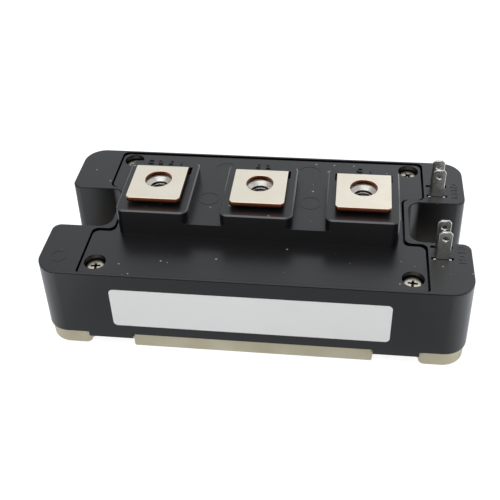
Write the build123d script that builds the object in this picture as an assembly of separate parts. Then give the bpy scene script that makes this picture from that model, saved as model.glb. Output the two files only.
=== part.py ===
from build123d import *
from math import radians, sqrt, tan
import os

# Half-bridge power module with a moulded case, screw terminals and plug-on signal tabs.
# Origin: centre of the base plate's underside. X runs along the length, with the signal
# tabs at +X. -Y is the labelled front and +Z is up. All sizes are in millimetres.

# Case moulding. The lobes are its four corners, beside the end notches.
CASE_LENGTH = 94.0
CASE_WIDTH = 48.0
CASE_TOP = 21.2
CASE_CORNER_R = 5.4
DRAFT = 1.3
LEDGE_WIDTH = 1.2
LOBE_LENGTH = 9.65
LOBE_CORE_WALL = 2.2
LOBE_CORE_INNER_WALL = 1.1
LOBE_CORE_ROOF = 2.4
LOBE_CORE_R = 2.0
POST_R = 2.8
POST_HOLE_DEPTH = 9.0

# End notches, which leave the mounting holes open from above
NOTCH_WIDTH = 13.8
NOTCH_DEPTH = 13.05
NOTCH_INNER_R = 2.6
NOTCH_MOUTH_R = 2.3

# Base plate
PLATE_THICKNESS = 4.0
PLATE_INSET = 0.4
PLATE_CORNER_R = 5.0
PLATE_FOOT_R = 1.2
PLATE_STRIP_R = 0.5
MOUNTING_HOLE_D = 6.5
MOUNTING_HOLE_FROM_END = 7.0
KEY_FROM_END = 15.25
KEY_LENGTH = 10.1
KEY_DEPTH = 1.9
KEY_DROP = 1.35
KEY_CORNER_R = 0.6
KEY_CLEARANCE = 0.05

# Lid moulding and its recess in the case
RECESS_WALL = 0.55
RECESS_NOTCH_WALL = 1.0
RECESS_NOTCH_SIDE_WALL = 0.65
RECESS_CORNER_R = 1.5
RECESS_FRONT_CORNER_R = 0.4
LID_THICKNESS = 3.0
LID_SIDE_GAP = 0.55
LID_FRONT_GAP = 0.05
LID_REAR_GAP = 1.0
RIB_DEPTH = 19.8
RIB_FROM_NOTCH = 2.95
SADDLE_WIDTH = 7.0
SADDLE_TOP = 25.0
BOSS_TOP = 28.0
BOSS_CORNER_R = 1.8
BOSS_EDGE = 0.3
SADDLE_ROOF = 1.8
SADDLE_SIDE_WALL = 1.0

# Lid screws
SCREW_FROM_RECESS_END = 3.45
SCREW_FROM_RECESS_SIDE = 3.55
SCREW_SHANK_D = 2.6
SCREW_LENGTH = 9.0
SCREW_HEAD_D = 4.25
SCREW_HEAD_HEIGHT = 1.2
SCREW_HEAD_SLOPE = 0.45
SCREW_RECESS_DEPTH = 0.7
SCREW_RECESS_LENGTH = 2.6
SCREW_RECESS_WIDTH = 0.7
COUNTERBORE_D = 4.8
HEAD_SINK = 1.2
LID_HOLE_CLEARANCE = 0.2

# Main terminals and their nuts
TERMINAL_SIDE_INSET = 2.0
TERMINAL_THICKNESS = 1.1
TERMINAL_LIFT = 0.7
TERMINAL_FRONT_INSET = 2.55
TERMINAL_HOLE_D = 6.0
TERMINAL_CORNER_R = 0.9
BEND_INNER_R = 0.5
NUT_TO_LEG = 0.48
LEG_WIDTH = 6.0
NARROW_LEG_WIDTH = 3.2
LEG_SHOULDER_DROP = 2.2
LEG_JOG_RISE = 2.5
FOOT_LENGTH = 5.0
FOOT_EDGE = 0.6
SLOT_FRONT_CLEARANCE = 0.3
SLOT_REAR_CLEARANCE = 1.4
SLOT_SIDE_CLEARANCE = 0.45
NUT_ACROSS_FLATS = 8.0
NUT_HEIGHT = 4.0
NUT_GAP = 0.3
NUT_THREAD_D = 4.2
NUT_CHAMFER = 0.6
NUT_CLEARANCE = 0.1
SCREW_TIP_BORE_D = 5.6
SCREW_TIP_DEPTH = 5.0

# Signal tabs, two on each right-hand lobe
TAB_FROM_END = 6.75
TAB_WIDTH = 2.8
TAB_THICKNESS = 0.5
TAB_TOP = 28.5
TAB_HOLE_D = 1.2
TAB_HOLE_DROP = 1.8
TAB_CHAMFER = 0.6
TAB_SHOULDER_WIDTH = 4.0
TAB_SHOULDER_SINK = 0.15
TAB_ARM_TOP = 12.0
TAB_ARM_BOTTOM = 9.0
TAB_ARM_LENGTH = 8.7
TAB_SLOT_LENGTH = 4.8
TAB_SLOT_WIDTH = 0.8
TAB_SLOT_DEPTH = 1.0
REAR_TABS_FROM_NOTCH = 4.95
FRONT_TABS_FROM_NOTCH = 3.7
TAB_SPACING = 3.85

# Label
LABEL_LENGTH = 60.6
LABEL_HEIGHT = 10.4
LABEL_THICKNESS = 0.07
LABEL_FROM_TOP = 9.33
LABEL_SHIFT = -0.25
LABEL_CORNER_R = 1.0

# Substrates, chips and wiring
SUBSTRATE_GAP = 3.0
SUBSTRATE_END_GAP = 2.8
SUBSTRATE_SIDE_GAP = 2.85
CERAMIC_THICKNESS = 0.63
FOIL_THICKNESS = 0.3
FOIL_MARGIN = 0.8
BASE_SOLDER = 0.2
CHIP_SOLDER = 0.1
TRACK_GAP = 1.2
EMITTER_TRACK_WIDTH = 6.5
EMITTER_TRACK_INSET = 2.0
GATE_TRACK_WIDTH = 3.7
CHIP_GAP = 2.55
CHIP_TO_FOOT = 2.45
IGBT_SHARE = 0.585
DIODE_WIDTH_SHARE = 0.71
CHIP_THICKNESS = 0.25
CHIP_EDGE = 1.2
IGBT_WIRE_COUNT = 5
DIODE_WIRE_COUNT = 4
WIRE_WIDTH = 0.4
WIRE_STITCH = 0.9
WIRE_RISE = 3.0
WIRE_STEP_SHARE = 0.117
EMITTER_WIRE_SHARE = 0.083
LINK_WIDTH = 2.6
LINK_THICKNESS = 0.5
LINK_PAD = 2.6
LINK_EDGE = 0.3
LINK_RISE = 1.4
LEAD_D = 0.9
LEAD_START = 2.0
LEAD_LANE_INSET = 1.0
LEAD_LANE_STEP = 1.9
LEAD_SIDES = 6
GEL_TOP = 11.5

# Sealant between the case and the base plate
BEAD_WIDTH = 0.8
BEAD_HEIGHT = 0.5
BEAD_FROM_CAVITY = 0.6

# Places along the length and across the width, worked out from the sizes above
LEDGE_Z = CASE_TOP - LID_THICKNESS
TOP_SHRINK = (CASE_TOP - PLATE_THICKNESS) * tan(radians(DRAFT))
TOP_HALF_WIDTH = CASE_WIDTH / 2 - TOP_SHRINK
NOTCH_END_X = CASE_LENGTH / 2 - NOTCH_DEPTH
PLATE_HALF_LENGTH = CASE_LENGTH / 2 - PLATE_INSET
PLATE_HALF_WIDTH = CASE_WIDTH / 2 - PLATE_INSET
MOUNTING_X = CASE_LENGTH / 2 - MOUNTING_HOLE_FROM_END
KEY_CENTRE_X = CASE_LENGTH / 2 - KEY_FROM_END
RECESS_END_X = CASE_LENGTH / 2 - LOBE_LENGTH
RECESS_HALF_WIDTH = TOP_HALF_WIDTH - RECESS_WALL
RECESS_NOTCH_X = NOTCH_END_X - TOP_SHRINK - RECESS_NOTCH_WALL
RECESS_NOTCH_Y = NOTCH_WIDTH / 2 + TOP_SHRINK + RECESS_NOTCH_SIDE_WALL
SCREW_X = RECESS_END_X - SCREW_FROM_RECESS_END
SCREW_Y = RECESS_HALF_WIDTH - SCREW_FROM_RECESS_SIDE
SCREW_PLACES = [(x, y) for x in (-SCREW_X, SCREW_X) for y in (-SCREW_Y, SCREW_Y)]
HEAD_SEAT_Z = CASE_TOP - HEAD_SINK - SCREW_HEAD_HEIGHT
LABEL_CENTRE_Z = CASE_TOP - LABEL_FROM_TOP

# Places of the terminals, nuts and tabs. Three bosses and the two saddles between them
# share the rib, and each terminal lies over the middle of its boss.
RIB_LENGTH = 2 * (NOTCH_END_X - RIB_FROM_NOTCH)
BOSS_WIDTH = (RIB_LENGTH - 2 * SADDLE_WIDTH) / 3
TERMINAL_PITCH = BOSS_WIDTH + SADDLE_WIDTH
TERMINAL_WIDTH = BOSS_WIDTH - 2 * TERMINAL_SIDE_INSET
TERMINAL_XS = (-TERMINAL_PITCH, 0.0, TERMINAL_PITCH)
TERMINAL_TOP = BOSS_TOP + TERMINAL_LIFT + TERMINAL_THICKNESS
TERMINAL_FRONT_Y = -RIB_DEPTH / 2 + TERMINAL_FRONT_INSET
SHEET_Z = TERMINAL_TOP - TERMINAL_THICKNESS / 2
BEND_R = BEND_INNER_R + TERMINAL_THICKNESS / 2
LEG_Y = NUT_ACROSS_FLATS / sqrt(3) + NUT_TO_LEG + TERMINAL_THICKNESS / 2
LEG_SHOULDER_Z = LEDGE_Z - LEG_SHOULDER_DROP
LEG_JOG_Z = GEL_TOP + LEG_JOG_RISE
NUT_TOP = TERMINAL_TOP - TERMINAL_THICKNESS - NUT_GAP
TAB_X = CASE_LENGTH / 2 - TAB_FROM_END
TAB_ARM_END_X = TAB_X - TAB_ARM_LENGTH
REAR_TABS_Y = NOTCH_WIDTH / 2 + REAR_TABS_FROM_NOTCH
FRONT_TABS_Y = -NOTCH_WIDTH / 2 - FRONT_TABS_FROM_NOTCH

# Substrates: one beside the other in the case's open middle, with even margins
CERAMIC_LENGTH = RECESS_NOTCH_X - LEDGE_WIDTH - SUBSTRATE_END_GAP - SUBSTRATE_GAP / 2
CERAMIC_WIDTH = 2 * (RECESS_HALF_WIDTH - LEDGE_WIDTH - SUBSTRATE_SIDE_GAP)
SUBSTRATE_X = (CERAMIC_LENGTH + SUBSTRATE_GAP) / 2
CERAMIC_Z = PLATE_THICKNESS + BASE_SOLDER + FOIL_THICKNESS
TRACK_Z = CERAMIC_Z + CERAMIC_THICKNESS
TRACK_TOP = TRACK_Z + FOIL_THICKNESS
CHIP_TOP = TRACK_TOP + CHIP_SOLDER + CHIP_THICKNESS
TRACK_HALF_U = CERAMIC_LENGTH / 2 - FOIL_MARGIN
TRACK_HALF_V = CERAMIC_WIDTH / 2 - FOIL_MARGIN

# One switch of the half bridge, in its own plane coordinates: u along X and v along Y,
# with the gate tracks at -v, then the collector track, and the emitter track at +v
GATE_V0 = -TRACK_HALF_V
GATE_V1 = GATE_V0 + GATE_TRACK_WIDTH
COLLECTOR_V0 = GATE_V1 + TRACK_GAP
EMITTER_V1 = TRACK_HALF_V - EMITTER_TRACK_INSET
EMITTER_V0 = EMITTER_V1 - EMITTER_TRACK_WIDTH
COLLECTOR_V1 = EMITTER_V0 - TRACK_GAP
CHIPS_LENGTH = 2 * (TRACK_HALF_U - CHIP_EDGE) - CHIP_GAP
IGBT_LENGTH = CHIPS_LENGTH * IGBT_SHARE
DIODE_LENGTH = CHIPS_LENGTH - IGBT_LENGTH
FOOT_REACH = FOOT_EDGE + FOOT_LENGTH + TERMINAL_THICKNESS / 2
IGBT_WIDTH = COLLECTOR_V1 - CHIP_EDGE - COLLECTOR_V0 - FOOT_REACH - CHIP_TO_FOOT
DIODE_WIDTH = IGBT_WIDTH * DIODE_WIDTH_SHARE
IGBT_U = -TRACK_HALF_U + CHIP_EDGE + IGBT_LENGTH / 2
WIRE_STEP = IGBT_LENGTH * WIRE_STEP_SHARE
EMITTER_WIRE_SHIFT = IGBT_LENGTH * EMITTER_WIRE_SHARE
DIODE_U = TRACK_HALF_U - CHIP_EDGE - DIODE_LENGTH / 2
CHIP_V = COLLECTOR_V1 - CHIP_EDGE - IGBT_WIDTH / 2
GATE_CENTRE_U = (IGBT_U - TRACK_GAP / 2 - TRACK_HALF_U) / 2
SENSE_CENTRE_U = (IGBT_U + TRACK_GAP / 2 + TRACK_HALF_U) / 2

# The link crosses where one switch's emitter track faces the other's collector track
LINK_REACH = SUBSTRATE_GAP / 2 + FOIL_MARGIN + LINK_EDGE + LINK_PAD
LINK_Y = (EMITTER_V0 - COLLECTOR_V0) / 2

# Lanes of the insulated leads
LEAD_LANE_Z = (TAB_ARM_TOP + TAB_ARM_BOTTOM) / 2
OUTER_LANE = TRACK_HALF_V - LEAD_LANE_INSET
INNER_LANE = OUTER_LANE - LEAD_LANE_STEP
GATE_TURN_X = TAB_ARM_END_X - LEAD_START
SENSE_TURN_X = GATE_TURN_X - LEAD_LANE_STEP


def block(x0, x1, y0, y1, z0, z1):
    """A box between two corners."""
    corner = (Align.MIN, Align.MIN, Align.MIN)
    return Pos(x0, y0, z0) * Box(x1 - x0, y1 - y0, z1 - z0, align=corner)


def round_vertices(face, places, radius):
    """Rounds the corners of a face that lie at any of the places."""
    near = [
        v
        for v in face.vertices()
        if any(abs(v.X - x) < 0.01 and abs(v.Y - y) < 0.01 for x, y in places)
    ]
    return fillet(near, radius)


def mirrored(x, y):
    """The four places with the same distance from both centre lines."""
    return [(sx * x, sy * y) for sx in (-1, 1) for sy in (-1, 1)]


def rod(x, y, z0, z1, radius):
    """An upright cylinder."""
    return Pos(x, y, z0) * Cylinder(radius, z1 - z0, align=(Align.CENTER, Align.CENTER, Align.MIN))


# Outline of the case at its foot: a rounded rectangle with a notch in each end
def case_outline():
    half = CASE_LENGTH / 2
    face = Rectangle(CASE_LENGTH, CASE_WIDTH)
    for side in (-1, 1):
        middle = side * (half + NOTCH_END_X) / 2
        face -= Pos(middle, 0) * Rectangle(half - NOTCH_END_X, NOTCH_WIDTH)
    face = round_vertices(face, mirrored(half, CASE_WIDTH / 2), CASE_CORNER_R)
    face = round_vertices(face, mirrored(NOTCH_END_X, NOTCH_WIDTH / 2), NOTCH_INNER_R)
    return round_vertices(face, mirrored(half, NOTCH_WIDTH / 2), NOTCH_MOUTH_R)


# Outline with two arms at each end that reach past the notch, for the lid and all that
# lies under it. It stands in from the recess by the insets at the sides, front and rear.
def winged_outline(inset, front=None, rear=None):
    front = inset if front is None else front
    rear = inset if rear is None else rear
    end_x, notch_x = RECESS_END_X - inset, RECESS_NOTCH_X - inset
    y_front, y_rear = -RECESS_HALF_WIDTH + front, RECESS_HALF_WIDTH - rear
    notch_front, notch_rear = -RECESS_NOTCH_Y - rear, RECESS_NOTCH_Y + front
    outline = Polyline(
        (-end_x, y_front), (end_x, y_front), (end_x, notch_front), (notch_x, notch_front),
        (notch_x, notch_rear), (end_x, notch_rear), (end_x, y_rear), (-end_x, y_rear),
        (-end_x, notch_rear), (-notch_x, notch_rear), (-notch_x, notch_front),
        (-end_x, notch_front), close=True,
    )
    return make_face(outline)


def rounded(outline):
    """A winged outline with its corners rounded, the two at the front more tightly."""
    front_y = outline.vertices().sort_by(Axis.Y)[0].Y
    outline = fillet([v for v in outline.vertices() if v.Y > front_y + 0.01], RECESS_CORNER_R)
    front = [v for v in outline.vertices() if v.Y < front_y + 0.01]
    return fillet(front, RECESS_FRONT_CORNER_R)


def recess_outline(inset):
    return rounded(winged_outline(inset))


def slab(face, z0, z1):
    """A face pulled up between two heights."""
    return extrude(Pos(0, 0, z0) * face, amount=z1 - z0)


# Signal tab: one flat stamping, with the plug-on blade above the lobe, shoulders at the
# slot, a leg moulded into the lobe and an arm into the cavity, where its lead is soldered
def signal_tab(y):
    half = TAB_WIDTH / 2
    shoulder = TAB_SHOULDER_WIDTH / 2
    shoulder_z = CASE_TOP - TAB_SHOULDER_SINK
    outline = Polyline(
        (TAB_X - half, shoulder_z), (TAB_X - half, TAB_TOP - TAB_CHAMFER),
        (TAB_X - half + TAB_CHAMFER, TAB_TOP), (TAB_X + half - TAB_CHAMFER, TAB_TOP),
        (TAB_X + half, TAB_TOP - TAB_CHAMFER), (TAB_X + half, shoulder_z),
        (TAB_X + shoulder, shoulder_z), (TAB_X + shoulder, TAB_ARM_BOTTOM),
        (TAB_ARM_END_X, TAB_ARM_BOTTOM), (TAB_ARM_END_X, TAB_ARM_TOP),
        (TAB_X - shoulder, TAB_ARM_TOP), (TAB_X - shoulder, shoulder_z), close=True,
    )
    face = make_face(outline) - Pos(TAB_X, TAB_TOP - TAB_HOLE_DROP) * Circle(TAB_HOLE_D / 2)
    return extrude(Plane.XZ.offset(-y) * face, amount=TAB_THICKNESS / 2, both=True)


TAB_PLACES = {
    "lower_gate_tab": REAR_TABS_Y + TAB_SPACING / 2,
    "lower_emitter_tab": REAR_TABS_Y - TAB_SPACING / 2,
    "upper_emitter_tab": FRONT_TABS_Y + TAB_SPACING / 2,
    "upper_gate_tab": FRONT_TABS_Y - TAB_SPACING / 2,
}


# Base plate: a flat copper slab with a hole at each end and two notches in each long edge
def key_places():
    return [(sx * KEY_CENTRE_X, sy) for sx in (-1, 1) for sy in (-1, 1)]


def base_plate():
    length, width = 2 * PLATE_HALF_LENGTH, 2 * PLATE_HALF_WIDTH
    face = RectangleRounded(length, width, PLATE_CORNER_R)
    notch_y = PLATE_HALF_WIDTH - KEY_DEPTH
    for x, side in key_places():
        face -= Pos(x, side * PLATE_HALF_WIDTH) * Rectangle(KEY_LENGTH, 2 * KEY_DEPTH)
    strip_x, foot_x = KEY_CENTRE_X - KEY_LENGTH / 2, KEY_CENTRE_X + KEY_LENGTH / 2
    for edge_x, outer_r in ((strip_x, PLATE_STRIP_R), (foot_x, PLATE_FOOT_R)):
        face = round_vertices(face, mirrored(edge_x, notch_y), KEY_CORNER_R)
        face = round_vertices(face, mirrored(edge_x, PLATE_HALF_WIDTH), outer_r)
    plate = slab(face, 0, PLATE_THICKNESS)
    for side in (-1, 1):
        plate -= rod(side * MOUNTING_X, 0, 0, PLATE_THICKNESS, MOUNTING_HOLE_D / 2)
    return plate


# Case: drafted walls, with a notch in each end. Inside it has the recess for the lid, the
# ledge that carries the lid, a screw post in each corner and cored left-hand lobes. Keys
# under the long walls lock into the base plate's notches.
def case_body():
    height = CASE_TOP - PLATE_THICKNESS
    return extrude(Pos(0, 0, PLATE_THICKNESS) * case_outline(), amount=height, taper=DRAFT)


def case_keys():
    keys = []
    inner_y = PLATE_HALF_WIDTH - KEY_DEPTH + KEY_CLEARANCE
    outer_y = CASE_WIDTH / 2
    for x, side in key_places():
        face = Pos(x, side * (inner_y + outer_y) / 2) * Rectangle(
            KEY_LENGTH - 2 * KEY_CLEARANCE, outer_y - inner_y
        )
        inner = [v for v in face.vertices() if abs(abs(v.Y) - inner_y) < 0.01]
        face = fillet(inner, KEY_CORNER_R)
        keys.append(slab(face, PLATE_THICKNESS - KEY_DROP, PLATE_THICKNESS))
    return keys


def lobe_core(side_y):
    """The hollow moulded up into a left-hand lobe from below."""
    x0 = -CASE_LENGTH / 2 + LOBE_CORE_WALL
    x1 = -RECESS_END_X - LOBE_CORE_INNER_WALL
    y0 = NOTCH_WIDTH / 2 + LOBE_CORE_WALL
    y1 = CASE_WIDTH / 2 - LOBE_CORE_WALL
    face = Pos((x0 + x1) / 2, side_y * (y0 + y1) / 2) * RectangleRounded(
        x1 - x0, y1 - y0, LOBE_CORE_R
    )
    return slab(face, PLATE_THICKNESS, CASE_TOP - LOBE_CORE_ROOF)


def cavity_face():
    """The open middle of the case, without the corners that the screw posts fill."""
    face = recess_outline(LEDGE_WIDTH)
    for x, y in SCREW_PLACES:
        face -= Pos(x, y) * Circle(POST_R)
        face -= Pos(x + (POST_R if x > 0 else -POST_R), y) * Rectangle(2 * POST_R, 2 * POST_R)
        face -= Pos(x, y + (POST_R if y > 0 else -POST_R)) * Rectangle(2 * POST_R, 2 * POST_R)
    return face


def case(tabs):
    body = case_body()
    for key in case_keys():
        body += key
    body -= slab(recess_outline(0), LEDGE_Z, CASE_TOP)
    body -= slab(cavity_face(), PLATE_THICKNESS, LEDGE_Z)
    for side_y in (-1, 1):
        body -= lobe_core(side_y)
    for x, y in SCREW_PLACES:
        body -= rod(x, y, LEDGE_Z - POST_HOLE_DEPTH, LEDGE_Z, SCREW_SHANK_D / 2)
    for tab, y in tabs:
        half = TAB_SLOT_LENGTH / 2
        body -= block(
            TAB_X - half, TAB_X + half, y - TAB_SLOT_WIDTH / 2, y + TAB_SLOT_WIDTH / 2,
            CASE_TOP - TAB_SLOT_DEPTH, CASE_TOP,
        )
        body -= tab
    return body - sealing_bead()


# Sealant: a closed bead in a groove round the cavity, between the case and the base plate
def sealing_bead():
    inner = winged_outline(LEDGE_WIDTH - BEAD_FROM_CAVITY)
    outer = winged_outline(LEDGE_WIDTH - BEAD_FROM_CAVITY - BEAD_WIDTH)
    return slab(outer - inner, PLATE_THICKNESS, PLATE_THICKNESS + BEAD_HEIGHT)


# Lid: a flat plate with arms, a rib across it and three bosses on the rib. Each boss has a
# hexagonal nut pocket, a bore for the screw's tip and a slot that the terminal comes up by.
def lid_outline():
    return rounded(winged_outline(LID_SIDE_GAP, LID_FRONT_GAP, LID_REAR_GAP))


def boss(x):
    face = Pos(x, 0) * RectangleRounded(BOSS_WIDTH, RIB_DEPTH, BOSS_CORNER_R)
    solid = slab(face, CASE_TOP - LID_THICKNESS / 2, BOSS_TOP)
    return chamfer(solid.faces().sort_by(Axis.Z)[-1].edges(), BOSS_EDGE)


def terminal_slot(x):
    half = TERMINAL_WIDTH / 2 + SLOT_SIDE_CLEARANCE
    front = LEG_Y - TERMINAL_THICKNESS / 2 - SLOT_FRONT_CLEARANCE
    rear = LEG_Y + TERMINAL_THICKNESS / 2 + SLOT_REAR_CLEARANCE
    return block(x - half, x + half, front, rear, LEDGE_Z, BOSS_TOP)


def nut_pocket(x):
    seat = NUT_TOP - NUT_HEIGHT
    inner_r = NUT_ACROSS_FLATS / 2 + NUT_CLEARANCE
    hexagon = Pos(x, 0) * RegularPolygon(inner_r, 6, major_radius=False, rotation=30)
    return slab(hexagon, seat, BOSS_TOP) + rod(x, 0, seat - SCREW_TIP_DEPTH, seat, SCREW_TIP_BORE_D / 2)


def saddle_hollow(x):
    """The space moulded up into the rib between two bosses, from below."""
    half = SADDLE_WIDTH / 2 - SADDLE_SIDE_WALL
    depth = RIB_DEPTH / 2 - SADDLE_ROOF
    return block(x - half, x + half, -depth, depth, LEDGE_Z, SADDLE_TOP - SADDLE_ROOF)


def lid():
    body = slab(lid_outline(), LEDGE_Z, CASE_TOP)
    rib = slab(RectangleRounded(RIB_LENGTH, RIB_DEPTH, BOSS_CORNER_R), LEDGE_Z, SADDLE_TOP)
    body += rib
    for x in TERMINAL_XS:
        body += boss(x)
    for x in TERMINAL_XS:
        body -= terminal_slot(x)
        body -= nut_pocket(x)
    for x in (-TERMINAL_PITCH / 2, TERMINAL_PITCH / 2):
        body -= saddle_hollow(x)
    for x, y in SCREW_PLACES:
        body -= rod(x, y, HEAD_SEAT_Z, CASE_TOP, COUNTERBORE_D / 2)
        body -= rod(x, y, LEDGE_Z, CASE_TOP, SCREW_SHANK_D / 2 + LID_HOLE_CLEARANCE)
    return body


# Lid screws: pan heads with a cross recess, driven into the case's posts
def lid_screw(x, y):
    head_r, shank_r = SCREW_HEAD_D / 2, SCREW_SHANK_D / 2
    tip_z = HEAD_SEAT_Z - SCREW_LENGTH
    head_top = HEAD_SEAT_Z + SCREW_HEAD_HEIGHT
    profile = make_face(
        Polyline(
            (0, head_top), (0, tip_z), (shank_r, tip_z), (shank_r, HEAD_SEAT_Z),
            (head_r, HEAD_SEAT_Z), (head_r, head_top - SCREW_HEAD_SLOPE),
            (head_r - SCREW_HEAD_SLOPE, head_top), close=True,
        )
    )
    screw = revolve(Plane.XZ * profile, Axis.Z)
    recess_z = head_top - SCREW_RECESS_DEPTH
    long_half, short_half = SCREW_RECESS_LENGTH / 2, SCREW_RECESS_WIDTH / 2
    above = head_top + SCREW_HEAD_HEIGHT
    screw -= block(-long_half, long_half, -short_half, short_half, recess_z, above)
    screw -= block(-short_half, short_half, -long_half, long_half, recess_z, above)
    return Pos(x, y, 0) * screw


# Main terminal: a plated copper strip. Its flat top lies over the nut, it bends down
# behind the boss, narrows below the lid, and ends in a foot soldered to a track. A jog in
# the leg takes up the strain of a tightened screw.
def strip(x, width, points, radius):
    path = Pos(x, 0, 0) * (Plane.YZ * FilletPolyline(*points, radius=radius))
    start = path @ 0
    direction = path % 0
    section = Plane(origin=start, x_dir=(1, 0, 0), z_dir=direction) * Rectangle(width, TERMINAL_THICKNESS)
    return sweep(section, path)


def main_terminal(x, leg_x, leg_width, foot_y, foot_direction):
    foot_z = TRACK_TOP + CHIP_SOLDER + TERMINAL_THICKNESS / 2
    top = strip(
        x, TERMINAL_WIDTH,
        [(TERMINAL_FRONT_Y, SHEET_Z), (LEG_Y, SHEET_Z), (LEG_Y, LEG_SHOULDER_Z)], BEND_R,
    )
    front_edges = [
        e for e in top.edges().filter_by(Axis.Z) if abs(e.center().Y - TERMINAL_FRONT_Y) < 0.01
    ]
    top = fillet(front_edges, TERMINAL_CORNER_R)
    top -= rod(x, 0, TERMINAL_TOP - 2 * TERMINAL_THICKNESS, TERMINAL_TOP, TERMINAL_HOLE_D / 2)
    points = [(LEG_Y, LEG_SHOULDER_Z)]
    if foot_y != LEG_Y:
        points += [(LEG_Y, LEG_JOG_Z), (foot_y, LEG_JOG_Z)]
    points += [(foot_y, foot_z), (foot_y + foot_direction * FOOT_LENGTH, foot_z)]
    return top + strip(leg_x, leg_width, points, BEND_R)


# Each terminal: its place on the lid, then its leg's place, width, foot and foot direction.
# The midpoint's leg is straight. The negative one stands at the corner of the lower
# switch's emitter track, and the positive one on the upper switch's collector track.
TERMINALS = {
    "midpoint_terminal": (-TERMINAL_PITCH, -TERMINAL_PITCH, LEG_WIDTH, LEG_Y, 1),
    "negative_terminal": (
        0.0,
        -SUBSTRATE_X + TRACK_HALF_U - FOOT_EDGE - NARROW_LEG_WIDTH / 2,
        NARROW_LEG_WIDTH,
        -EMITTER_V1 + FOOT_EDGE + FOOT_LENGTH,
        -1,
    ),
    "positive_terminal": (
        TERMINAL_PITCH, SUBSTRATE_X + DIODE_U, LEG_WIDTH, COLLECTOR_V0 + FOOT_EDGE + FOOT_LENGTH, -1,
    ),
}


def foot_solder(leg_x, leg_width, foot_y, foot_direction):
    near = foot_y + foot_direction * BEND_R
    far = foot_y + foot_direction * FOOT_LENGTH
    half = leg_width / 2
    return block(
        leg_x - half, leg_x + half, min(near, far), max(near, far), TRACK_TOP, TRACK_TOP + CHIP_SOLDER
    )


# Nuts: hexagons with a chamfered top face, held from turning by the pockets
def nut(x):
    seat = NUT_TOP - NUT_HEIGHT
    hexagon = RegularPolygon(NUT_ACROSS_FLATS / 2, 6, major_radius=False, rotation=30)
    turned = rod(0, 0, seat, NUT_TOP, NUT_ACROSS_FLATS / sqrt(3))
    turned = chamfer(turned.faces().sort_by(Axis.Z)[-1].edges(), NUT_CHAMFER / 2)
    lead_in = Cone(
        NUT_THREAD_D / 2, NUT_THREAD_D / 2 + NUT_CHAMFER, NUT_CHAMFER,
        align=(Align.CENTER, Align.CENTER, Align.MAX),
    )
    bore = rod(0, 0, seat, NUT_TOP, NUT_THREAD_D / 2) + Pos(0, 0, NUT_TOP) * lead_in
    return Pos(x, 0, 0) * ((slab(hexagon, seat, NUT_TOP) & turned) - bore)


# Label: a thin plain sheet on the drafted front wall
def front_label():
    slope = tan(radians(DRAFT))
    y = -CASE_WIDTH / 2 + (LABEL_CENTRE_Z - PLATE_THICKNESS) * slope
    wall = Plane(origin=(LABEL_SHIFT, y, LABEL_CENTRE_Z), x_dir=(1, 0, 0), z_dir=(0, -1, slope))
    face = wall * RectangleRounded(LABEL_LENGTH, LABEL_HEIGHT, LABEL_CORNER_R)
    return extrude(face, amount=LABEL_THICKNESS)


# Substrate: a ceramic tile with foil on both faces, soldered to the base plate
def substrate():
    ceramic = block(
        -CERAMIC_LENGTH / 2, CERAMIC_LENGTH / 2, -CERAMIC_WIDTH / 2, CERAMIC_WIDTH / 2,
        CERAMIC_Z, TRACK_Z,
    )
    foil_z = PLATE_THICKNESS + BASE_SOLDER
    foil = block(-TRACK_HALF_U, TRACK_HALF_U, -TRACK_HALF_V, TRACK_HALF_V, foil_z, CERAMIC_Z)
    solder = block(-TRACK_HALF_U, TRACK_HALF_U, -TRACK_HALF_V, TRACK_HALF_V, PLATE_THICKNESS, foil_z)
    half_gap = TRACK_GAP / 2
    tracks = [
        block(-TRACK_HALF_U, IGBT_U - half_gap, GATE_V0, GATE_V1, TRACK_Z, TRACK_TOP),
        block(IGBT_U + half_gap, TRACK_HALF_U, GATE_V0, GATE_V1, TRACK_Z, TRACK_TOP),
        block(-TRACK_HALF_U, TRACK_HALF_U, COLLECTOR_V0, COLLECTOR_V1, TRACK_Z, TRACK_TOP),
        block(-TRACK_HALF_U, TRACK_HALF_U, EMITTER_V0, EMITTER_V1, TRACK_Z, TRACK_TOP),
    ]
    return {"ceramic": [ceramic], "bottom_foil": [foil], "base_solder": [solder], "tracks": tracks}


def chip_and_solder(u, length, width):
    u0, u1 = u - length / 2, u + length / 2
    v0, v1 = CHIP_V - width / 2, CHIP_V + width / 2
    solder_top = TRACK_TOP + CHIP_SOLDER
    return block(u0, u1, v0, v1, solder_top, CHIP_TOP), block(u0, u1, v0, v1, TRACK_TOP, solder_top)


def bond_wire(u, v0, v1, z0, z1):
    """A wire with a flat stitch at each end and an arch between them."""
    step = 1 if v1 > v0 else -1
    low0, low1 = z0 + WIRE_WIDTH / 2, z1 + WIRE_WIDTH / 2
    points = [
        (v0, low0),
        (v0 + step * WIRE_STITCH, low0),
        ((2 * v0 + v1) / 3, low0 + WIRE_RISE),
        ((v0 + 2 * v1) / 3, low0 + WIRE_RISE),
        (v1 - step * WIRE_STITCH, low1),
        (v1, low1),
    ]
    path = Pos(u, 0, 0) * (Plane.YZ * Polyline(*points))
    section = Plane(origin=path @ 0, x_dir=(1, 0, 0), z_dir=path % 0) * Rectangle(WIRE_WIDTH, WIRE_WIDTH)
    return sweep(section, path, transition=Transition.RIGHT)


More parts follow.
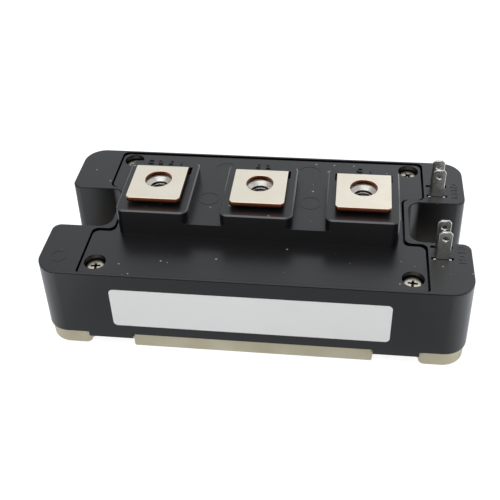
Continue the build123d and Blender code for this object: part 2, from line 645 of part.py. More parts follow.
def wires():
    made = []
    emitter_v = (EMITTER_V0 + EMITTER_V1) / 2
    groups = (
        (IGBT_WIRE_COUNT, IGBT_U + EMITTER_WIRE_SHIFT, IGBT_WIDTH),
        (DIODE_WIRE_COUNT, DIODE_U, DIODE_WIDTH),
    )
    for count, centre, width in groups:
        start_v = CHIP_V + width / 4 - WIRE_STITCH
        for i in range(count):
            u = centre + (i - (count - 1) / 2) * WIRE_STEP
            made.append(bond_wire(u, start_v, emitter_v, CHIP_TOP, TRACK_TOP))
    gate_v = (GATE_V0 + GATE_V1) / 2
    chip_edge_v = CHIP_V - IGBT_WIDTH / 2 + 2 * WIRE_STITCH
    for u in (IGBT_U - WIRE_STEP, IGBT_U + WIRE_STEP):
        made.append(bond_wire(u, chip_edge_v, gate_v, CHIP_TOP, TRACK_TOP))
    return made


def switch(prefix, place):
    """Every piece of one switch, moved to its place on the base plate."""
    igbt, igbt_solder = chip_and_solder(IGBT_U, IGBT_LENGTH, IGBT_WIDTH)
    diode, diode_solder = chip_and_solder(DIODE_U, DIODE_LENGTH, DIODE_WIDTH)
    pieces = substrate()
    pieces["igbt_chip"] = [igbt]
    pieces["diode_chip"] = [diode]
    pieces["chip_solder"] = [igbt_solder, diode_solder]
    pieces["bond_wires"] = wires()
    return {prefix + "_" + name: [place * s for s in solids] for name, solids in pieces.items()}


# Copper link that joins the upper switch's emitter to the lower switch's collector
def switch_link():
    z = TRACK_TOP + CHIP_SOLDER + LINK_THICKNESS / 2
    inner = LINK_REACH - LINK_PAD
    path = Plane.XZ.offset(-LINK_Y) * Polyline(
        (-LINK_REACH, z), (-inner, z), (-inner / 2, z + LINK_RISE),
        (inner / 2, z + LINK_RISE), (inner, z), (LINK_REACH, z),
    )
    start = Plane(origin=path @ 0, x_dir=(0, 1, 0), z_dir=path % 0)
    return sweep(start * Rectangle(LINK_WIDTH, LINK_THICKNESS), path, transition=Transition.RIGHT)


def link_solder():
    inner = LINK_REACH - LINK_PAD
    y0, y1 = LINK_Y - LINK_WIDTH / 2, LINK_Y + LINK_WIDTH / 2
    top = TRACK_TOP + CHIP_SOLDER
    return [
        block(-LINK_REACH, -inner, y0, y1, TRACK_TOP, top),
        block(inner, LINK_REACH, y0, y1, TRACK_TOP, top),
    ]


# Insulated leads from the tabs' arms to the gate and sense tracks. The gate leads run in
# the outer lane, along the substrate's edge, and the sense leads in the lane inside it.
def signal_lead(start_y, turn_x, lane_y, end_x):
    path = Polyline(
        (TAB_ARM_END_X, start_y, LEAD_LANE_Z), (turn_x, start_y, LEAD_LANE_Z),
        (turn_x, lane_y, LEAD_LANE_Z), (end_x, lane_y, LEAD_LANE_Z), (end_x, lane_y, TRACK_TOP),
    )
    section = Plane(origin=path @ 0, z_dir=path % 0) * RegularPolygon(LEAD_D / 2, LEAD_SIDES)
    return sweep(section, path, transition=Transition.RIGHT)


def upper_signal_leads():
    return [
        signal_lead(
            TAB_PLACES["upper_gate_tab"], GATE_TURN_X, -OUTER_LANE, SUBSTRATE_X + GATE_CENTRE_U
        ),
        signal_lead(
            TAB_PLACES["upper_emitter_tab"], SENSE_TURN_X, -INNER_LANE, SUBSTRATE_X + SENSE_CENTRE_U
        ),
    ]


def lower_signal_leads():
    return [
        signal_lead(
            TAB_PLACES["lower_gate_tab"], GATE_TURN_X, OUTER_LANE, -SUBSTRATE_X - GATE_CENTRE_U
        ),
        signal_lead(
            TAB_PLACES["lower_emitter_tab"], SENSE_TURN_X, INNER_LANE, -SUBSTRATE_X - SENSE_CENTRE_U
        ),
    ]


# Silicone gel: fills the cavity round everything on the base plate
def silicone_gel(inner):
    gel = slab(cavity_face(), PLATE_THICKNESS, GEL_TOP)
    for solid in inner:
        gel -= solid
    return gel


def build():
    tabs = {name: signal_tab(y) for name, y in TAB_PLACES.items()}
    nodes = {"base_plate": [base_plate()]}
    nodes["case"] = [case([(tabs[name], y) for name, y in TAB_PLACES.items()])]
    nodes["sealing_bead"] = [sealing_bead()]
    nodes["lid"] = [lid()]
    nodes["lid_screws"] = [lid_screw(x, y) for x, y in SCREW_PLACES]
    nodes["terminal_nuts"] = [nut(x) for x in TERMINAL_XS]
    nodes["front_label"] = [front_label()]
    inner = {}
    for name, tab in tabs.items():
        inner[name] = [tab]
    for name, (x, leg_x, width, foot_y, direction) in TERMINALS.items():
        inner[name] = [main_terminal(x, leg_x, width, foot_y, direction)]
    inner["joint_solder"] = [foot_solder(*values[1:]) for values in TERMINALS.values()] + link_solder()
    inner.update(switch("upper", Pos(SUBSTRATE_X, 0, 0)))
    inner.update(switch("lower", Pos(-SUBSTRATE_X, 0, 0) * Rot(0, 0, 180)))
    inner["switch_link"] = [switch_link()]
    inner["upper_signal_leads"] = upper_signal_leads()
    inner["lower_signal_leads"] = lower_signal_leads()
    nodes.update(inner)
    nodes["silicone_gel"] = [silicone_gel([s for solids in inner.values() for s in solids])]
    return nodes


def write(nodes):
    os.makedirs("parts", exist_ok=True)
    for name, pieces in nodes.items():
        solids = [s for piece in pieces for s in piece.solids()]
        shape = solids[0] if len(solids) == 1 else Compound(children=solids)
        export_step(shape, "parts/" + name + ".step")


write(build())
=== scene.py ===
import math

import bmesh
import bpy
from mathutils import Euler, Matrix, Vector


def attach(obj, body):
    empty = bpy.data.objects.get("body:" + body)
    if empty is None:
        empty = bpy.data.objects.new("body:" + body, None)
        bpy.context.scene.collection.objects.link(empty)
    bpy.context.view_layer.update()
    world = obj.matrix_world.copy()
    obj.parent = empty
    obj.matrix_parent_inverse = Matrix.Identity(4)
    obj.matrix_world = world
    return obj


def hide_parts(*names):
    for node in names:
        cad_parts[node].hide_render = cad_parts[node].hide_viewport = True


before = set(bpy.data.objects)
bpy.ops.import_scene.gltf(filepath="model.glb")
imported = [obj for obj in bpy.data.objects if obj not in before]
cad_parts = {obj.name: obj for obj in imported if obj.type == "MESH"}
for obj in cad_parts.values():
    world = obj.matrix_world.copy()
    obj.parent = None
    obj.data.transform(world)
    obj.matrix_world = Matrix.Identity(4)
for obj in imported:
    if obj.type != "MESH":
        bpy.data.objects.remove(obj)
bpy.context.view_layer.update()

# BASE PLATE
# A thick plate of nickel-plated copper that carries everything and takes the heat away.
# It is blanked and coined, so its edges are slightly broken, and plated a warm matt nickel.
MM = 0.001
MERGE = 0.002 * MM
FLAT_ANGLE = math.radians(0.4)
SMOOTH_ANGLE = math.radians(34)
CORNER_ANGLE = math.radians(50)
PLATE_BREAK = 0.3 * MM
TONE_SPREAD = (0.32, 0.68)
GLOSS_SPREAD = (0.3, 0.7)
EDGE_MATCH = (0.995, 0.86)
EDGE_SAMPLES = 6
SPECK_GROWTH = (0.4, 1.0, 0.25, 1.0)
SPECKLESS_SHARE = 0.68
LEVEL_LEAST = 0.7
PLATE_SPECK = (84, 78, 66)


def linear(colour):
    """A colour given from 0 to 255, as the shader counts it."""
    return tuple(((c / 255 + 0.055) / 1.055) ** 2.4 for c in colour) + (1.0,)


def wire(tree, kind, sockets=None, **settings):
    """Adds one node and joins or sets its sockets."""
    made = tree.nodes.new(kind)
    for name, value in settings.items():
        setattr(made, name, value)
    for name, value in (sockets or {}).items():
        if isinstance(value, bpy.types.NodeSocket):
            tree.links.new(value, made.inputs[name])
        else:
            made.inputs[name].default_value = value
    return made


def worked(tree, operation, first, second=0.0):
    """The result of one sum on two numbers."""
    return wire(tree, "ShaderNodeMath", {0: first, 1: second}, operation=operation).outputs[0]


def ramp(tree, value, start, end, low=0.0, high=1.0, **settings):
    """Goes from low to high while the value goes from start to end."""
    sockets = {"Value": value, 1: start, 2: end, 3: low, 4: high}
    return wire(tree, "ShaderNodeMapRange", sockets, **settings).outputs[0]


def blended(tree, mask, first, second):
    """The first colour where the mask is black and the second where it is white."""
    return wire(tree, "ShaderNodeMix", {0: mask, 6: first, 7: second}, data_type="RGBA").outputs[2]


def parts_of(tree, kind):
    """The X, Y and Z of a point's Object place or of its Normal."""
    coordinates = wire(tree, "ShaderNodeTexCoord")
    return wire(tree, "ShaderNodeSeparateXYZ", {0: coordinates.outputs[kind]}).outputs


def effect(name, inputs, outputs):
    """An empty shader node group with those number inputs and those outputs."""
    group = bpy.data.node_groups.new(name, "ShaderNodeTree")
    for label, value in inputs.items():
        socket = group.interface.new_socket(label, in_out="INPUT", socket_type="NodeSocketFloat")
        socket.default_value = value
    for label in outputs:
        group.interface.new_socket(label, in_out="OUTPUT", socket_type="NodeSocketFloat")
    return group, group.nodes.new("NodeGroupInput"), group.nodes.new("NodeGroupOutput")


def grain_effect():
    """Fine surface grain: a height for bump and a slow tone for colour and gloss."""
    group, given, out = effect("surface_grain", {"Grain size": 0.1, "Patch size": 8.0}, ("Height", "Tone"))
    place = wire(group, "ShaderNodeTexCoord").outputs["Object"]
    for size, detail, result in (("Grain size", 2.0, "Height"), ("Patch size", 4.0, "Tone")):
        scale = worked(group, "DIVIDE", 1.0 / MM, given.outputs[size])
        noise = wire(group, "ShaderNodeTexNoise", {"Vector": place, "Scale": scale, "Detail": detail})
        group.links.new(noise.outputs["Fac"], out.inputs[result])
    return group


def edge_effect():
    """White on an outer edge, where rubbed wear and a painted highlight go, black on the flats."""
    group, given, out = effect("rubbed_edge_and_highlight", {"Reach": 0.25}, ("Mask",))
    reach = worked(group, "MULTIPLY", given.outputs["Reach"], MM)
    rounded = wire(group, "ShaderNodeBevel", {"Radius": reach}, samples=EDGE_SAMPLES)
    true = wire(group, "ShaderNodeNewGeometry")
    match = wire(
        group, "ShaderNodeVectorMath", {0: rounded.outputs[0], 1: true.outputs["Normal"]},
        operation="DOT_PRODUCT",
    )
    group.links.new(ramp(group, match.outputs["Value"], *EDGE_MATCH), out.inputs["Mask"])
    return group


GRAIN = grain_effect()
EDGE_WEAR_AND_HIGHLIGHT = edge_effect()


def finish(
    name, colour, second, metallic, gloss, grain, patch, relief, edge=None, edge_reach=0.1, **constants
):
    """A finish of two close tones with fine relief. gloss is the lowest and highest roughness,
    grain, patch, relief and edge_reach are in millimetres, edge is the colour of its outer edges,
    rubbed wear and a painted highlight together, and constants go on the shader's own sockets."""
    made = bpy.data.materials.new(name)
    made.use_nodes = True
    tree = made.node_tree
    shader = tree.nodes["Principled BSDF"]
    shader.inputs["Metallic"].default_value = metallic
    for label, value in constants.items():
        shader.inputs[label.replace("_", " ")].default_value = value
    grains = wire(tree, "ShaderNodeGroup", {"Grain size": grain, "Patch size": patch}, node_tree=GRAIN)
    tone = ramp(tree, grains.outputs["Tone"], *TONE_SPREAD)
    shade = blended(tree, tone, linear(colour), linear(second))
    # The edge colour is laid as rubbed wear together with a painted highlight.
    if edge:
        wear_and_highlight = wire(tree, "ShaderNodeGroup", {"Reach": edge_reach}, node_tree=EDGE_WEAR_AND_HIGHLIGHT)
        shade = blended(tree, wear_and_highlight.outputs["Mask"], shade, linear(edge))
    rough = ramp(tree, grains.outputs["Tone"], *GLOSS_SPREAD, *gloss)
    bump = wire(tree, "ShaderNodeBump", {"Height": grains.outputs["Height"], "Distance": relief * MM})
    for label, value in (("Base Color", shade), ("Roughness", rough), ("Normal", bump.outputs[0])):
        tree.links.new(value, shader.inputs[label])
    return made


def dress(node, material):
    """Gives a CAD node its finish."""
    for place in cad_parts[node].material_slots:
        place.material = material


def taken_from(node):
    """A CAD node's mesh with its split corners merged and its flats whole again."""
    bm = bmesh.new()
    bm.from_mesh(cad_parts[node].data)
    bmesh.ops.remove_doubles(bm, verts=bm.verts[:], dist=MERGE)
    bmesh.ops.dissolve_limit(
        bm, angle_limit=FLAT_ANGLE, verts=bm.verts[:], edges=bm.edges[:], delimit=set()
    )
    return bm


def corners(bm, wanted):
    """The sharp outer edges whose two ends are wanted."""
    return [
        e for e in bm.edges
        if len(e.link_faces) == 2 and e.is_convex and e.calc_face_angle() > CORNER_ANGLE
        and all(wanted(v.co) for v in e.verts)
    ]


def round_over(bm, edges, width, steps=3):
    """Breaks the edges with a narrow round."""
    bmesh.ops.bevel(
        bm, geom=edges, offset=width, offset_type="OFFSET", segments=steps, profile=0.5,
        affect="EDGES", material=-1, clamp_overlap=False,
    )


def put_in_place(bm, name, material, node):
    """Makes the mesh a piece that rides on the module and stands for its CAD node."""
    bmesh.ops.triangulate(bm, faces=[f for f in bm.faces if len(f.verts) > 4])
    for face in bm.faces:
        face.smooth = True
    for e in bm.edges:
        e.smooth = len(e.link_faces) == 2 and e.calc_face_angle() < SMOOTH_ANGLE
    mesh = bpy.data.meshes.new(name)
    bm.to_mesh(mesh)
    bm.free()
    mesh.materials.append(material)
    piece = bpy.data.objects.new(name, mesh)
    bpy.context.scene.collection.objects.link(piece)
    shading = piece.modifiers.new("even_shading", "WEIGHTED_NORMAL")
    shading.keep_sharp = True
    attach(piece, "root")
    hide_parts(node)


def speck_effect():
    """Sparse specks, few of them large, on level faces only when Level is one."""
    group, given, out = effect("specks", {"Spacing": 1.5, "Speck size": 0.3, "Level": 1.0}, ("Mask",))
    place = wire(group, "ShaderNodeTexCoord").outputs["Object"]
    scale = worked(group, "DIVIDE", 1.0 / MM, given.outputs["Spacing"])
    cells = wire(group, "ShaderNodeTexVoronoi", {"Vector": place, "Scale": scale})
    chance = wire(group, "ShaderNodeSeparateColor", {"Color": cells.outputs["Color"]})
    largest = worked(group, "DIVIDE", given.outputs["Speck size"], given.outputs["Spacing"])
    share = ramp(group, chance.outputs["Green"], *SPECK_GROWTH)
    size = worked(group, "MULTIPLY", largest, share)
    near = worked(group, "LESS_THAN", cells.outputs["Distance"], size)
    chosen = worked(group, "GREATER_THAN", chance.outputs["Red"], SPECKLESS_SHARE)
    speck = worked(group, "MULTIPLY", near, chosen)
    level = worked(group, "GREATER_THAN", parts_of(group, "Normal")["Z"], LEVEL_LEAST)
    anywhere = worked(group, "SUBTRACT", 1.0, given.outputs["Level"])
    allowed = worked(group, "MAXIMUM", level, anywhere)
    group.links.new(worked(group, "MULTIPLY", speck, allowed), out.inputs["Mask"])
    return group


SPECKS = speck_effect()


def mark_colour(material, mask, colour):
    """Lays one more colour over a finish wherever the mask is white."""
    tree = material.node_tree
    base_colour = tree.nodes["Principled BSDF"].inputs["Base Color"]
    laid = blended(tree, mask, base_colour.links[0].from_socket, linear(colour))
    tree.links.new(laid, base_colour)


def speckle(material, spacing, size, colour, level):
    """Scatters specks over a finish; level keeps them to the faces that look up."""
    specks = wire(
        material.node_tree, "ShaderNodeGroup",
        {"Spacing": spacing, "Speck size": size, "Level": level}, node_tree=SPECKS,
    )
    mark_colour(material, specks.outputs["Mask"], colour)


nickel = finish(
    "matt_nickel", colour=(221, 213, 187), second=(205, 196, 168), metallic=0.75, gloss=(0.42, 0.56),
    grain=0.16, patch=11.0, relief=0.02, edge=(226, 220, 203), edge_reach=0.3,
)
speckle(nickel, spacing=4.0, size=0.32, colour=PLATE_SPECK, level=0.0)
bm = taken_from("base_plate")
round_over(bm, corners(bm, lambda co: True), PLATE_BREAK)
put_in_place(bm, "plated_base", nickel, "base_plate")

# SUBSTRATES
# Two alumina tiles with copper fired on to both faces. The lower foil is soldered to the
# base plate, and the upper one is etched into the tracks that carry the chips.
solder = finish(
    "dull_solder", colour=(172, 172, 170), second=(150, 150, 149), metallic=1.0, gloss=(0.38, 0.6),
    grain=0.3, patch=3.0, relief=0.05,
)
alumina = finish(
    "white_alumina", colour=(232, 230, 224), second=(222, 219, 211), metallic=0.0, gloss=(0.55, 0.7),
    grain=0.12, patch=5.0, relief=0.01,
)
copper = finish(
    "bare_copper", colour=(208, 128, 92), second=(188, 108, 74), metallic=1.0, gloss=(0.3, 0.5),
    grain=0.15, patch=4.0, relief=0.015,
)
for switch in ("upper", "lower"):
    dress(switch + "_base_solder", solder)
    dress(switch + "_bottom_foil", copper)
    dress(switch + "_ceramic", alumina)
    dress(switch + "_tracks", copper)

# CHIPS AND WIRES
# Each switch has a transistor chip and a diode chip, soldered to the track beneath them and
# joined at the top by thick aluminium wires, which are stitched on cold by ultrasound.
silicon = finish(
    "polished_silicon", colour=(96, 98, 108), second=(80, 82, 92), metallic=0.4, gloss=(0.14, 0.24),
    grain=0.4, patch=2.0, relief=0.004,
)
aluminium = finish(
    "drawn_aluminium", colour=(214, 215, 217), second=(198, 199, 202), metallic=1.0, gloss=(0.25, 0.36),
    grain=0.1, patch=1.5, relief=0.006,
)
for switch in ("upper", "lower"):
    dress(switch + "_chip_solder", solder)
    dress(switch + "_igbt_chip", silicon)
    dress(switch + "_diode_chip", silicon)
    dress(switch + "_bond_wires", aluminium)

# LINK, LEADS AND GEL
# A copper link joins the two switches. Insulated leads take the gate signals to the tabs,
# and a clear soft gel, poured in before the lid goes on, keeps damp and sparks away.
dress("switch_link", copper)
dress("joint_solder", solder)
lead_sleeve = finish(
    "lead_sleeve", colour=(196, 72, 52), second=(182, 62, 46), metallic=0.0, gloss=(0.42, 0.55),
    grain=0.2, patch=3.0, relief=0.02,
)
dress("upper_signal_leads", lead_sleeve)
dress("lower_signal_leads", lead_sleeve)
gel = finish(
    "clear_gel", colour=(244, 243, 236), second=(238, 237, 228), metallic=0.0, gloss=(0.05, 0.12),
    grain=1.5, patch=9.0, relief=0.05, Transmission_Weight=0.9, IOR=1.41,
)
dress("silicone_gel", gel)

# CASE
# The walls of the module, moulded in black filled plastic with a fine eroded texture. Just
# under the top runs the fine groove where the two halves of the mould met, and the plain
# designations of the signal tabs stand up beside them. Marks are placed in millimetres.
CASE_TOP = 21.2
TOP_LEAST = (CASE_TOP - 0.1) * MM
TOP_LIP = 0.16 * MM
GROOVE_HEIGHT = 0.22 * MM
GROOVE_DEPTH = 0.12 * MM
GROOVE_TOP = CASE_TOP * MM - TOP_LIP
GROOVE_BOTTOM = CASE_TOP * MM - TOP_LIP - GROOVE_HEIGHT
GROOVE_SLACK = 0.01 * MM
CUT_SLACK = 0.001 * MM
RIM_ROUND = 0.1 * MM
UPRIGHT = 0.1
WALL_LEAST = 8 * MM
DUST = (150, 148, 144)
ROUND_STEPS = 48
MARK_BOLD = 0.05 * MM
PIN_MARK_WIDTH = 0.12
PIN_MARK_RAISE = 0.06
CASE_PIN_MARK = (-42.3, -18.4, CASE_TOP, 1.7)
TAB_MARK_X = 44.3
TAB_MARK_SIZE = 2.2
TAB_MARK_RAISE = 0.08
TAB_MARK_TURN = -90
TAB_MARKS = (
    ("G", 14.3), ("2", 12.7), ("E", 11.3), ("2", 9.8), ("E", -8.5), ("1", -10.1), ("G", -11.9), ("1", -13.5),
)


def once(things):
    """The things in their order, each of them once."""
    return list(dict.fromkeys(things))


def of_kind(kind, things):
    """Those of the things that are of one kind, corners or edges or faces."""
    return [thing for thing in things if isinstance(thing, kind)]


def turned(bm, x, y, profile, half_flats=None):
    """Turns a profile of (radius, height) points in millimetres about an upright line. A profile
    that ends where it began makes a closed ring, and half_flats cuts the round to a hexagon."""
    made = bmesh.ops.create_circle(bm, segments=ROUND_STEPS, radius=1.0)["verts"]
    edge = once(e for v in made for e in v.link_edges)
    turned_verts = []
    for step, (radius, height) in enumerate(profile):
        if step:
            drawn = bmesh.ops.extrude_edge_only(bm, edges=edge)["geom"]
            made = of_kind(bmesh.types.BMVert, drawn)
            edge = [e for e in of_kind(bmesh.types.BMEdge, drawn) if all(v in made for v in e.verts)]
        for v in made:
            way = Vector((v.co.x, v.co.y, 0)).normalized()
            reach = radius * MM
            if half_flats:
                angle = (math.atan2(way.y, way.x) + math.pi / 6) % (math.pi / 3) - math.pi / 6
                reach = min(reach, half_flats / math.cos(angle))
            v.co = way * reach + Vector((0, 0, height * MM))
        turned_verts += made
    bmesh.ops.translate(bm, verts=turned_verts, vec=(x * MM, y * MM, 0))
    bmesh.ops.remove_doubles(bm, verts=turned_verts, dist=MERGE)


def raised_mark(bm, letter, x, y, height, size, raised, turn=0.0):
    """A plain letter or digit moulded proud of a level surface."""
    text = bpy.data.curves.new("mark", "FONT")
    text.body = letter
    text.size = size * MM
    text.extrude = raised * MM
    text.offset = MARK_BOLD
    text.align_x, text.align_y = "CENTER", "CENTER"
    holder = bpy.data.objects.new("mark", text)
    bpy.context.scene.collection.objects.link(holder)
    mesh = bpy.data.meshes.new_from_object(holder.evaluated_get(bpy.context.evaluated_depsgraph_get()))
    mesh.transform(Matrix.LocRotScale(Vector((x, y, height)) * MM, Euler((0, 0, math.radians(turn))), None))
    bm.from_mesh(mesh)
    bpy.data.objects.remove(holder)


def pin_mark(bm, x, y, height, radius):
    """The thin ring of flash that an ejector pin leaves."""
    half = PIN_MARK_WIDTH / 2
    low, high = height - PIN_MARK_RAISE, height + PIN_MARK_RAISE
    ring = [(radius + half, low), (radius + half / 2, high), (radius - half / 2, high), (radius - half, low)]
    turned(bm, x, y, ring + ring[:1])


def twice_middle(e):
    """The sum of an edge's two ends in hundredths of a millimetre, by which it is known again."""
    return tuple(round(c / MM, 2) for c in e.verts[0].co + e.verts[1].co)


# Its lighter edge colour is partly rubbed wear and partly a painted highlight on the outer edges.
moulded_black = finish(
    "moulded_black", colour=(10, 10, 13), second=(14, 14, 17), metallic=0.0, gloss=(0.28, 0.36),
    grain=0.11, patch=14.0, relief=0.003, edge=(44, 44, 46), edge_reach=0.15, IOR=1.6,
)
speckle(moulded_black, spacing=1.5, size=0.27, colour=DUST, level=1.0)

bm = taken_from("case")
walls = []
for f in bm.faces:
    heights = [v.co.z for v in f.verts]
    if abs(f.normal.z) < UPRIGHT and max(heights) > TOP_LEAST and max(heights) - min(heights) > WALL_LEAST:
        walls.append(f)
for f in walls:
    for e in f.edges:
        walls += [g for g in e.link_faces if abs(g.normal.z) < UPRIGHT and g not in walls]
top_edges = {
    twice_middle(e) for f in walls for e in f.edges if all(v.co.z > TOP_LEAST for v in e.verts)
}
for height in (GROOVE_TOP, GROOVE_BOTTOM):
    wall_edges = once(e for f in walls for e in f.edges)
    wall_verts = once(v for f in walls for v in f.verts)
    cut = bmesh.ops.bisect_plane(
        bm, geom=walls + wall_edges + wall_verts, plane_co=(0, 0, height), plane_no=(0, 0, 1),
        dist=CUT_SLACK,
    )
    walls = of_kind(bmesh.types.BMFace, cut["geom"])
band = [
    f for f in walls
    if max(v.co.z for v in f.verts) < GROOVE_TOP + GROOVE_SLACK
    and min(v.co.z for v in f.verts) > GROOVE_BOTTOM - GROOVE_SLACK
]
bmesh.ops.inset_region(bm, faces=band, thickness=0.0, depth=-GROOVE_DEPTH, use_even_offset=True)
round_over(bm, [e for e in bm.edges if twice_middle(e) in top_edges], RIM_ROUND)
pin_mark(bm, *CASE_PIN_MARK)
for letter, y in TAB_MARKS:
    raised_mark(bm, letter, TAB_MARK_X, y, CASE_TOP, TAB_MARK_SIZE, TAB_MARK_RAISE, TAB_MARK_TURN)
put_in_place(bm, "moulded_case", moulded_black, "case")

# SEALING BEAD
# A bead of grey silicone rubber that glues the case to the base plate and keeps the gel in.
# It is run round the foot of the case before the plate is pressed in.
bead = finish(
    "grey_rubber", colour=(150, 151, 150), second=(138, 139, 138), metallic=0.0, gloss=(0.5, 0.65),
    grain=0.25, patch=4.0, relief=0.05,
)
dress("sealing_bead", bead)

# SIGNAL TABS
# Four plug-on blades of tinned brass, stamped with snipped corners and a round hole. Each
# stands in a slot of the case on two shoulders, which sit deeper on the rear blade of a pair.
TAB_BREAK = 0.09 * MM
TAB_X = 40.25 * MM
TAB_HALF_WIDTH = 1.6 * MM
BLADE_LEAST = 20 * MM
SHOULDER_LEAST = 20.6 * MM
REAR_SINK = 0.5 * MM
REAR_BLADES = ("lower_gate", "upper_emitter")
# The near-white edge colour is a painted highlight along the blades' edges.
tin = finish(
    "dull_tin", colour=(208, 206, 200), second=(192, 190, 184), metallic=1.0, gloss=(0.24, 0.32),
    grain=0.12, patch=2.5, relief=0.02, edge=(226, 227, 228), edge_reach=0.12,
)
for name in ("lower_gate", "lower_emitter", "upper_emitter", "upper_gate"):
    bm = taken_from(name + "_tab")
    if name in REAR_BLADES:
        for v in bm.verts:
            if abs(v.co.x - TAB_X) > TAB_HALF_WIDTH and v.co.z > SHOULDER_LEAST:
                v.co.z -= REAR_SINK
    round_over(bm, corners(bm, lambda co: co.z > BLADE_LEAST), TAB_BREAK, steps=1)
    put_in_place(bm, name + "_blade", tin, name + "_tab")

# MAIN TERMINALS
# Three bus terminals, stamped from copper strip, nickel-plated and then bent over the nuts.
# The plate is bright on top, and the cut copper shows at its edges and in its hole, with painted
# shade darkening its lower half.
CUT_COPPER = (172, 98, 60)
COPPER_PAINTED_SHADE = (70, 36, 26)
LEVEL_TO_CUT = (0.75, 0.35)
SHADE_TO_LIT_HEIGHTS = (28.9 * MM, 29.4 * MM)
TERMINAL_BREAK = 0.12 * MM
BEND_LEAST = 28.0 * MM

plated = finish(
    "nickel_on_copper", colour=(244, 236, 219), second=(239, 230, 211), metallic=0.9, gloss=(0.26, 0.36),
    grain=0.1, patch=6.0, relief=0.006, edge=(238, 231, 219),
)
tree = plated.node_tree
slope = worked(tree, "ABSOLUTE", parts_of(tree, "Normal")["Z"])
cut_face = ramp(tree, slope, *LEVEL_TO_CUT)
mark_colour(plated, cut_face, CUT_COPPER)
# Painted shade: the lower part of the cut copper faces is darker.
lower_shade = ramp(tree, parts_of(tree, "Object")["Z"], *SHADE_TO_LIT_HEIGHTS, low=1.0, high=0.0)
mark_colour(plated, worked(tree, "MULTIPLY", lower_shade, cut_face), COPPER_PAINTED_SHADE)
for name in ("midpoint", "negative", "positive"):
    bm = taken_from(name + "_terminal")
    round_over(bm, corners(bm, lambda co: co.z > BEND_LEAST), TERMINAL_BREAK)
    bmesh.ops.remove_doubles(bm, verts=bm.verts[:], dist=MERGE)
    put_in_place(bm, name + "_busbar", plated, name + "_terminal")

# NUTS
# Three plated steel nuts lie loose in hexagonal pockets of the lid, under the terminals. Each
# is turned from hexagon bar, chamfered at the top and threaded right through. Painted shade
# darkens the thread's roots, and further down all of it. Depths are taken from the nut's top.
NUT_PLACES = (-23, 0, 23)
NUT_HALF_FLATS = 4.0 * MM
NUT_BOTTOM = 24.4
NUT_TOP = 28.4
NUT_CORNER = 4.62
NUT_CHAMFER = ((3.85, 0.0), (4.05, 0.12), (4.3, 0.28), (NUT_CORNER, 0.5))
THREAD_PITCH = 0.8
THREAD_CREST = 2.1
THREAD_ROOT = 2.5
THREAD_MOUTH = 2.98
THREAD_STEPS = 8
MOUTH_DEPTH = 0.75
SHADE_START_DEPTHS = (0.78, 0.9)
DARK_DEPTHS = (1.6, 2.5)
DARKEST = 0.95
CREST_TO_ROOT = (0.05, 0.14)
THREAD_PAINTED_SHADE = (26, 22, 17)

steel = finish(
    "plated_steel", colour=(240, 238, 232), second=(230, 227, 220), metallic=0.5, gloss=(0.32, 0.44),
    grain=0.1, patch=1.8, relief=0.004, edge=(240, 238, 232),
)
tree = steel.node_tree
# Painted shade: the thread's roots below the mouth, and deeper down all of the bore, are darkened.
height = parts_of(tree, "Object")["Z"]
below_mouth = ramp(tree, height, *((NUT_TOP - depth) * MM for depth in SHADE_START_DEPTHS))
above_crest = worked(tree, "SUBTRACT", height, (NUT_TOP - MOUTH_DEPTH) * MM)
thread_turns = worked(tree, "DIVIDE", above_crest, THREAD_PITCH * MM)
from_crest = worked(tree, "PINGPONG", thread_turns, 0.5)
groove = ramp(tree, from_crest, *CREST_TO_ROOT)
deep = ramp(tree, height, *((NUT_TOP - depth) * MM for depth in DARK_DEPTHS), high=DARKEST)
painted_shade = worked(tree, "MAXIMUM", groove, deep)
mark_colour(steel, worked(tree, "MULTIPLY", below_mouth, painted_shade), THREAD_PAINTED_SHADE)
thread = [
    (THREAD_ROOT if step % 2 else THREAD_CREST, NUT_TOP - MOUTH_DEPTH - step * THREAD_PITCH / 2)
    for step in range(THREAD_STEPS)
]
nut_outline = [(THREAD_MOUTH, NUT_TOP)] + [(radius, NUT_TOP - depth) for radius, depth in NUT_CHAMFER]
nut_outline += [(NUT_CORNER, NUT_BOTTOM), (THREAD_MOUTH, NUT_BOTTOM)] + thread[::-1] + nut_outline[:1]
bm = bmesh.new()
for x in NUT_PLACES:
    turned(bm, x, 0.0, nut_outline, NUT_HALF_FLATS)
bmesh.ops.recalc_face_normals(bm, faces=bm.faces[:])
put_in_place(bm, "threaded_nuts", steel, "terminal_nuts")

# LID
# One moulding of the same black plastic: a flat cover, a rib across it with a boss under each
# terminal, and saddles between them. The ejector pins have left faint rings on it, the
# terminals' plain designations stand up from the bosses, and the bosses' rims carry a painted highlight.
SADDLE_TOP = 25.0
BOSS_TOP = 28.0
RIM_FROM = (27.3 * MM, 27.5 * MM)
WALL_TO_ROUND = (0.2, 0.5)
ROUND_TO_FLAT = (0.93, 0.99)
RIM_PAINTED_HIGHLIGHT = (78, 79, 81)
LID_PIN_MARKS = (
    (-11.7, -0.2, SADDLE_TOP, 2.2), (11.4, -0.2, SADDLE_TOP, 2.2),
    (-10.2, 16.9, CASE_TOP, 2.8), (10.2, 16.9, CASE_TOP, 2.8),
)
BOSS_MARK_Y = 9.1
BOSS_MARK_SIZE = 2.0
BOSS_MARK_RAISE = 0.25
BOSS_MARKS = (
    ("C", -26.8), ("2", -24.4), ("E", -22.0), ("1", -19.5), ("E", -1.4), ("2", 1.0), ("C", 22.0), ("1", 24.5),
)

